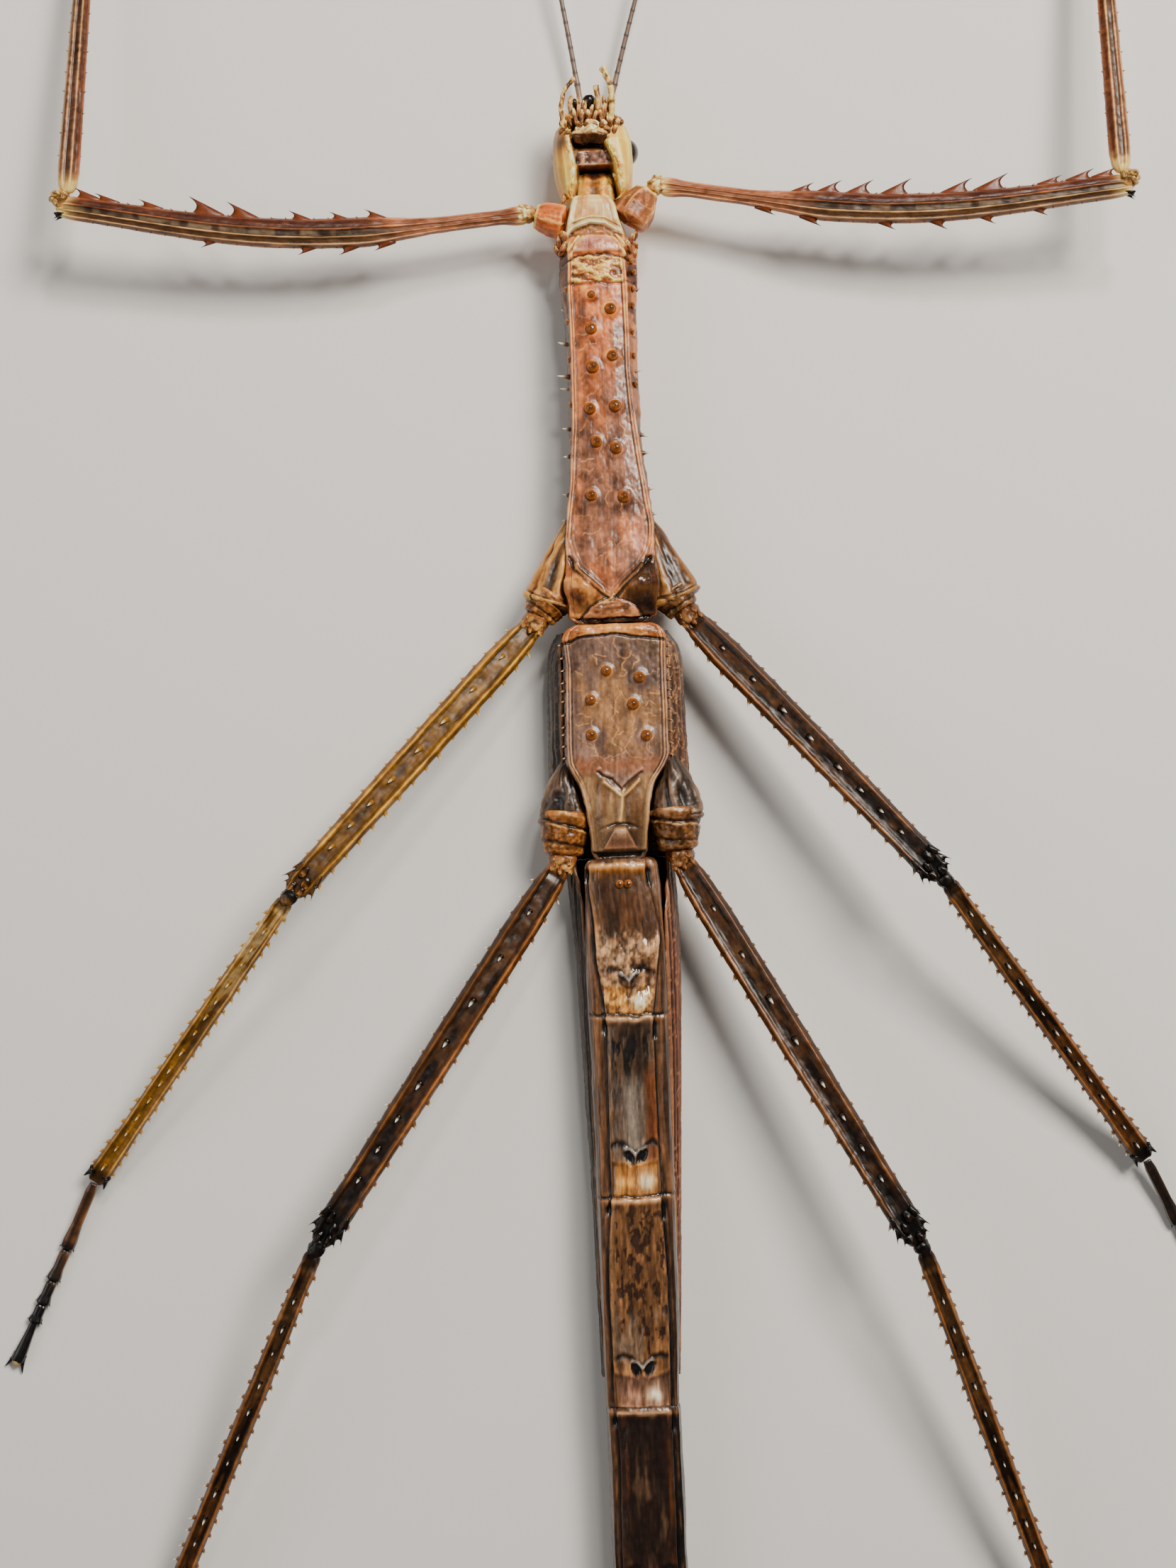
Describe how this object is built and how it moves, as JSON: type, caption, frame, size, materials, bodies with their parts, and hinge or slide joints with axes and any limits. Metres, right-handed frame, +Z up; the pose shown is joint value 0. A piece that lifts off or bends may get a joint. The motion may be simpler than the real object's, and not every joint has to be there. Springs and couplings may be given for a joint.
{
  "type": "giant stick insect model",
  "caption": "Life-size giant winged stick insect lying on its back, legs spread and feet on the floor, with folded wings, leaf-like tail tips and thorny fore legs.",
  "frame": {"origin": "centre of the whole outline, legs and feelers included, at floor level", "axes": "+Y towards the head, +Z up and out of the belly, +X towards the insect's own left side"},
  "size_m": [0.145, 0.3248, 0.0152],
  "materials": {
    "shell_brown": "satin",
    "shell_dark": "satin",
    "shell_red": "satin",
    "shell_cream": "satin",
    "eye": "gloss",
    "wing": "matt"
  },
  "bodies": {
    "root": {"abdomen_10": "shell_brown", "abdomen_2": "shell_brown", "abdomen_3": "shell_brown", "abdomen_4": "shell_brown", "abdomen_5": "shell_brown", "abdomen_6": "shell_brown", "abdomen_7": "shell_brown", "abdomen_8": "shell_brown", "abdomen_9": "shell_brown", "antenna_left": "shell_dark", "antenna_right": "shell_dark", "cercus_left": "shell_brown", "cercus_right": "shell_brown", "eye_left": "eye", "eye_right": "eye", "fore_left_coxa": "shell_red", "fore_left_femur": "shell_red", "fore_left_tarsus": "shell_dark", "fore_left_tibia": "shell_red", "fore_right_coxa": "shell_red", "fore_right_femur": "shell_red", "fore_right_tarsus": "shell_dark", "fore_right_tibia": "shell_red", "head": "shell_cream", "hind_left_coxa": "shell_brown", "hind_left_femur": "shell_brown", "hind_left_tarsus": "shell_dark", "hind_left_tibia": "shell_brown", "hind_right_coxa": "shell_brown", "hind_right_femur": "shell_brown", "hind_right_tarsus": "shell_dark", "hind_right_tibia": "shell_brown", "jaws": "shell_cream", "lower_lip": "shell_cream", "mesothorax": "shell_brown", "metathorax": "shell_brown", "mid_left_coxa": "shell_brown", "mid_left_femur": "shell_brown", "mid_left_tarsus": "shell_dark", "mid_left_tibia": "shell_brown", "mid_right_coxa": "shell_brown", "mid_right_femur": "shell_brown", "mid_right_tarsus": "shell_dark", "mid_right_tibia": "shell_brown", "neck": "shell_cream", "operculum": "shell_brown", "palp_left": "shell_cream", "palp_right": "shell_cream", "prothorax": "shell_brown", "wing_cover_left": "wing", "wing_cover_right": "wing", "wing_left": "wing", "wing_right": "wing"}
  },
  "joints": []
}
